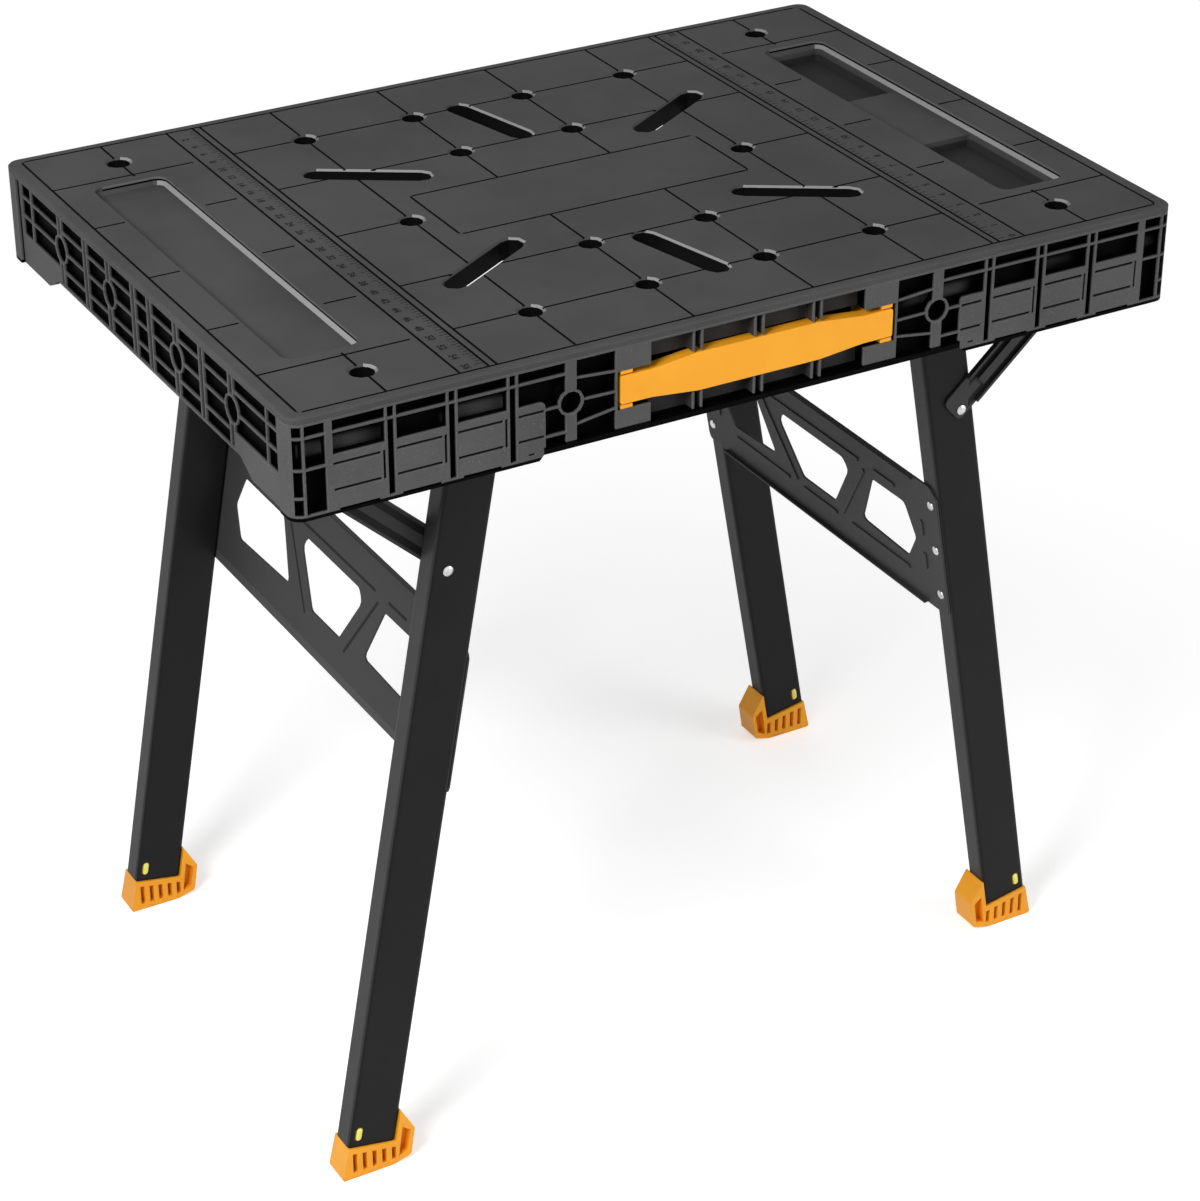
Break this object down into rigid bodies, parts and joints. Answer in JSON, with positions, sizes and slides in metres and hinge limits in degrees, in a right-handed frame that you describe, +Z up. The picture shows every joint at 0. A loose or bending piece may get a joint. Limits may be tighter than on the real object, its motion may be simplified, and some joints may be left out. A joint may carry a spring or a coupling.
{
  "type": "folding workbench",
  "caption": "Folding portable workbench: ribbed moulded top with dog holes, clamping slots, rulers and trays, a pull-out carry handle and two coupled folding leg frames.",
  "frame": {"origin": "on the floor under the middle of the top", "axes": "+Z up, +X to the right along the top as seen from the carry handle's side, which is -Y"},
  "size_m": [0.838, 0.59, 0.775],
  "materials": {
    "deck": "fine grained moulded plastic",
    "wall": "moulded plastic",
    "grip": "satin moulded plastic",
    "tube": "satin powder coat",
    "steel": "satin powder coat",
    "track": "moulded plastic",
    "plug": "moulded plastic",
    "bright": "zinc plated"
  },
  "bodies": {
    "bench_top": {"top_deck": "deck", "front_wall": "wall", "rear_wall": "wall", "left_end_wall": "wall", "right_end_wall": "wall", "left_front_brace_bracket": "steel", "left_front_brace_pin": "bright", "left_front_pin_track": "track", "left_rear_brace_bracket": "steel", "left_rear_brace_pin": "bright", "left_rear_pin_track": "track", "right_front_brace_bracket": "steel", "right_front_brace_pin": "bright", "right_front_pin_track": "track", "right_rear_brace_bracket": "steel", "right_rear_brace_pin": "bright", "right_rear_pin_track": "track"},
    "carry_handle": {"carry_handle": "grip"},
    "left_braces": {"left_front_brace": "steel", "left_rear_brace": "steel"},
    "left_leg_frame": {"left_gusset": "steel", "left_front_leg": "tube", "left_front_leg_plug": "plug", "left_front_foot": "grip", "left_front_top_pin": "bright", "left_front_hinge_rivet": "bright", "left_rear_leg": "tube", "left_rear_leg_plug": "plug", "left_rear_foot": "grip", "left_rear_top_pin": "bright", "left_rear_hinge_rivet": "bright"},
    "right_braces": {"right_front_brace": "steel", "right_rear_brace": "steel"},
    "right_leg_frame": {"right_gusset": "steel", "right_front_leg": "tube", "right_front_leg_plug": "plug", "right_front_foot": "grip", "right_front_top_pin": "bright", "right_front_hinge_rivet": "bright", "right_rear_leg": "tube", "right_rear_leg_plug": "plug", "right_rear_foot": "grip", "right_rear_top_pin": "bright", "right_rear_hinge_rivet": "bright"}
  },
  "joints": [
    {"name": "handle_slide", "type": "slide", "parent": "bench_top", "child": "carry_handle", "axis": [0, -1, 0], "range_m": [0, 0.02]},
    {"name": "left_brace_fold", "type": "hinge", "parent": "bench_top", "child": "left_braces", "pos_m": [-0.395, 0, 0.7], "axis": [0, -1, 0], "range_deg": [0, 43.57]},
    {"name": "left_leg_fold", "type": "hinge", "parent": "left_braces", "child": "left_leg_frame", "pos_m": [-0.265, 0, 0.582], "axis": [0, -1, 0], "range_deg": [0, 56.53]},
    {"name": "right_brace_fold", "type": "hinge", "parent": "bench_top", "child": "right_braces", "pos_m": [0.395, 0, 0.7], "axis": [0, 1, 0], "range_deg": [0, 43.08]},
    {"name": "right_leg_fold", "type": "hinge", "parent": "right_braces", "child": "right_leg_frame", "pos_m": [0.265, 0, 0.582], "axis": [0, 1, 0], "range_deg": [0, 57.02]}
  ],
  "couplings": [
    {"joint": "left_leg_fold", "follows": "left_brace_fold", "ratio": 1.2975},
    {"joint": "right_brace_fold", "follows": "left_brace_fold", "ratio": 0.98876},
    {"joint": "right_leg_fold", "follows": "left_brace_fold", "ratio": 1.3088}
  ]
}
